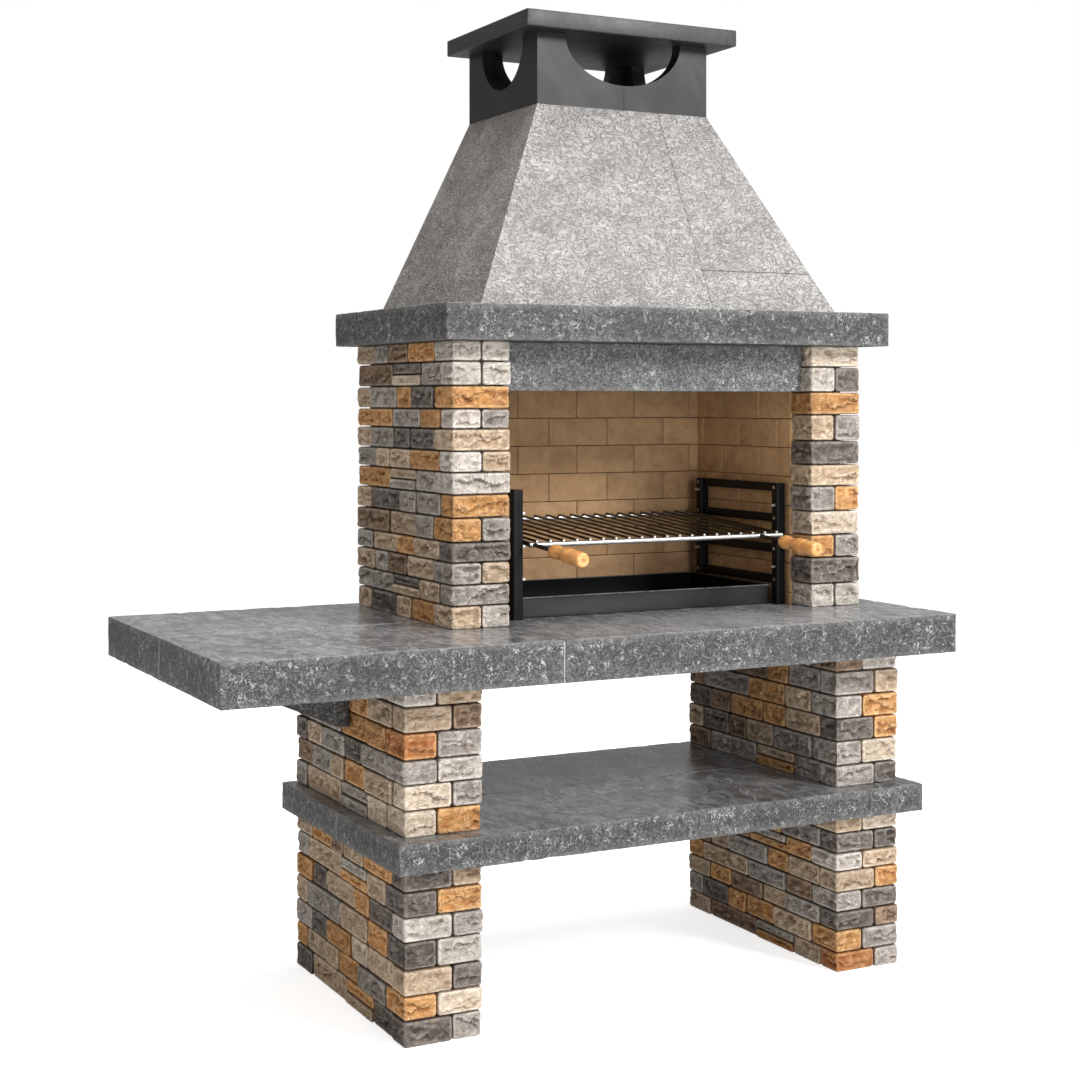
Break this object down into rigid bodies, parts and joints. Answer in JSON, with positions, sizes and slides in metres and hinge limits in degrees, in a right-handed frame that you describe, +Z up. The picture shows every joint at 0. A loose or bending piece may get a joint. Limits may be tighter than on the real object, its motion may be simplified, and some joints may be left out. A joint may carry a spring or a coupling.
{
  "type": "masonry barbecue",
  "caption": "Stone-faced masonry barbecue with a side worktop, open shelf, brick-lined firebox, sliding grate and charcoal tray, tapered granite hood and capped chimney.",
  "frame": {"origin": "middle of the worktop's outline, on the ground under it", "axes": "+X to the right seen from the cooking side, +Y to the back, +Z up"},
  "size_m": [1.892, 0.91, 2.395],
  "materials": {
    "concrete": "rough cast concrete",
    "split_stone": "split rock face in greys, buffs and ochres",
    "firebrick": "matt fired buff brick",
    "grout": "matt cement grout",
    "dark_limestone": "honed dark limestone with pale fossil flecks",
    "granite": "flamed light grey granite",
    "charcoal_paint": "cast cap with satin charcoal paint",
    "varnished_wood": "clear varnished turned beech",
    "bright_steel": "bright plated steel",
    "zinc_screw": "zinc plated",
    "black_steel": "satin black heat-proof paint"
  },
  "bodies": {
    "masonry": {"back_firebricks": "firebrick", "cap_left_half": "charcoal_paint", "cap_lid": "charcoal_paint", "cap_right_half": "charcoal_paint", "corbel": "dark_limestone", "firebox_back_panel": "concrete", "hood_back_panel": "granite", "hood_front_left_panel": "granite", "hood_front_lower_panel": "granite", "hood_front_upper_panel": "granite", "hood_inner_shell": "concrete", "hood_left_panel": "granite", "hood_right_panel": "granite", "left_cheek_core": "concrete", "left_cheek_stones": "split_stone", "left_firebricks": "firebrick", "left_rack_front_post": "black_steel", "left_rack_lugs": "black_steel", "left_rack_rear_post": "black_steel", "left_rack_rungs": "black_steel", "left_rack_screws": "zinc_screw", "lintel": "dark_limestone", "lower_left_pier_core": "concrete", "lower_left_pier_stones": "split_stone", "lower_right_pier_core": "concrete", "lower_right_pier_stones": "split_stone", "mantel": "dark_limestone", "right_cheek_core": "concrete", "right_cheek_stones": "split_stone", "right_firebricks": "firebrick", "right_rack_front_post": "black_steel", "right_rack_lugs": "black_steel", "right_rack_rear_post": "black_steel", "right_rack_rungs": "black_steel", "right_rack_screws": "zinc_screw", "shelf_front_slab": "dark_limestone", "shelf_grout": "grout", "shelf_rear_slab": "dark_limestone", "upper_left_pier_core": "concrete", "upper_left_pier_stones": "split_stone", "upper_right_pier_core": "concrete", "upper_right_pier_stones": "split_stone", "worktop_front_left_slab": "dark_limestone", "worktop_front_right_slab": "dark_limestone", "worktop_grout": "grout", "worktop_rear_left_slab": "dark_limestone", "worktop_rear_right_slab": "dark_limestone"},
    "grate": {"grate_front_bar": "bright_steel", "grate_handle_rods": "bright_steel", "grate_rear_bar": "bright_steel", "grate_rods": "bright_steel", "grate_side_bars": "bright_steel", "left_grate_handle": "varnished_wood", "right_grate_handle": "varnished_wood"},
    "tray": {"charcoal_tray": "black_steel"}
  },
  "joints": [
    {"name": "grate_slide", "type": "slide", "parent": "masonry", "child": "grate", "axis": [0, -0.9976, -0.0698], "range_m": [0, 0.3]},
    {"name": "tray_slide", "type": "slide", "parent": "masonry", "child": "tray", "axis": [0, -1, 0], "range_m": [0, 0.35]}
  ]
}
